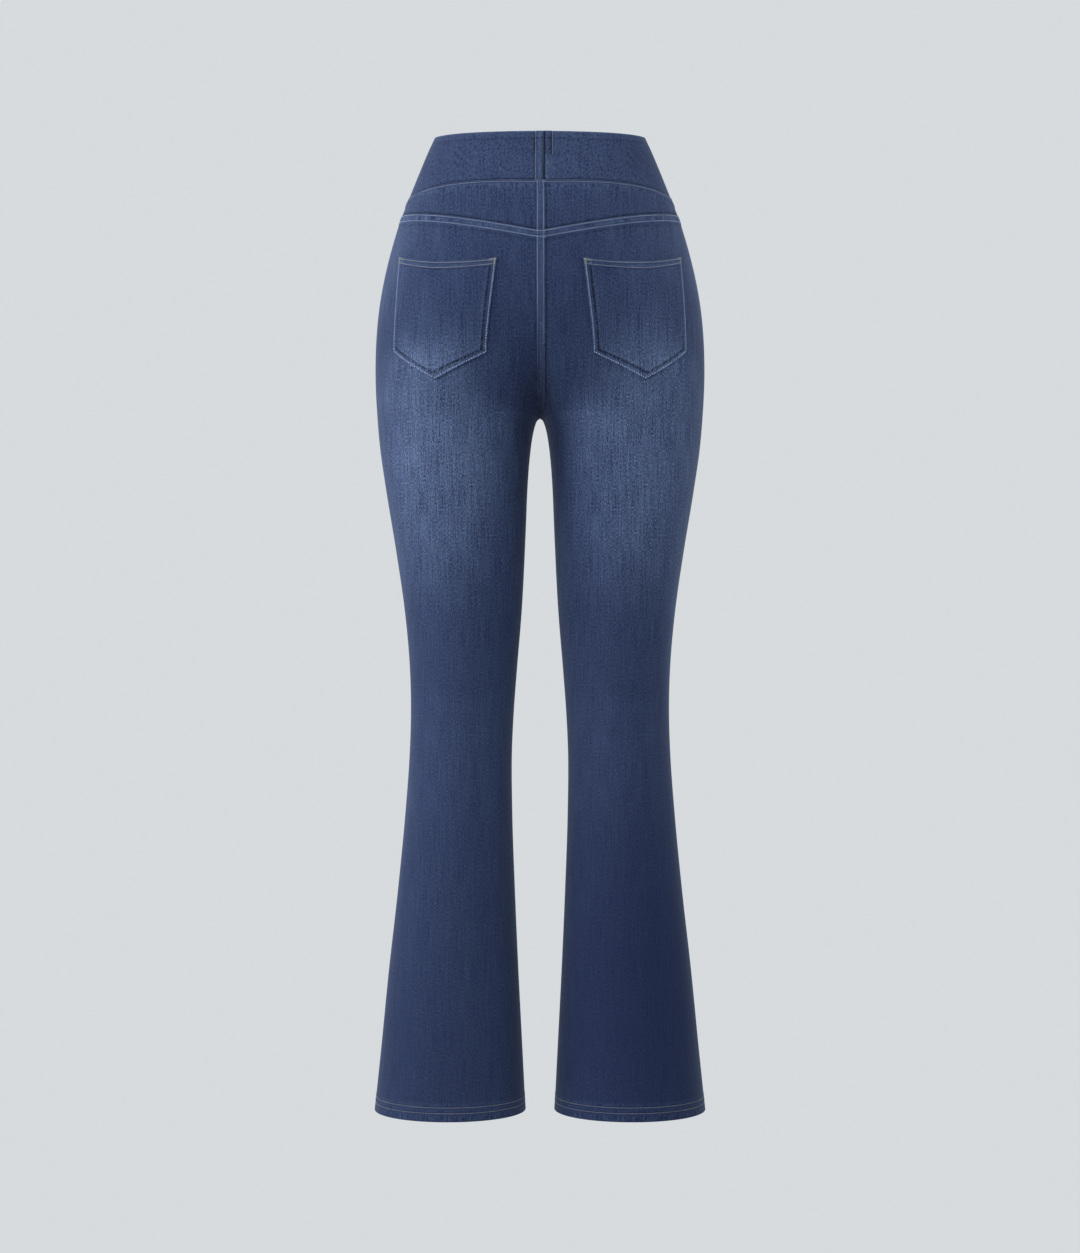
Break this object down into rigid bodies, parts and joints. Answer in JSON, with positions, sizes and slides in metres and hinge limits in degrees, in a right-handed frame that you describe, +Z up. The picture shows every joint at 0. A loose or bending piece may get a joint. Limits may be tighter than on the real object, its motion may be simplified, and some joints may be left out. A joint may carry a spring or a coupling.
{
  "type": "bootcut jeans",
  "caption": "High-waisted pull-on bootcut jeans in stretch denim, open at the waist and hems, filled out to their worn form.",
  "frame": {"origin": "on the wearer's upright axis, halfway up the waistband, where the wearer's waist holds the jeans up", "axes": "+Z up; +Y the way the wearer faces, so the yokes and back pockets are at -Y; +X the wearer's right"},
  "size_m": [0.3592, 0.2447, 1.0592],
  "materials": {
    "denim": "soft washed stretch denim, matt"
  },
  "bodies": {
    "root": {"back_left": "denim", "back_right": "denim", "front_left": "denim", "front_right": "denim", "yoke_left": "denim", "yoke_right": "denim", "waistband_back_left": "denim", "waistband_back_right": "denim", "waistband_front": "denim", "pocket_left": "denim", "pocket_right": "denim"}
  },
  "joints": []
}
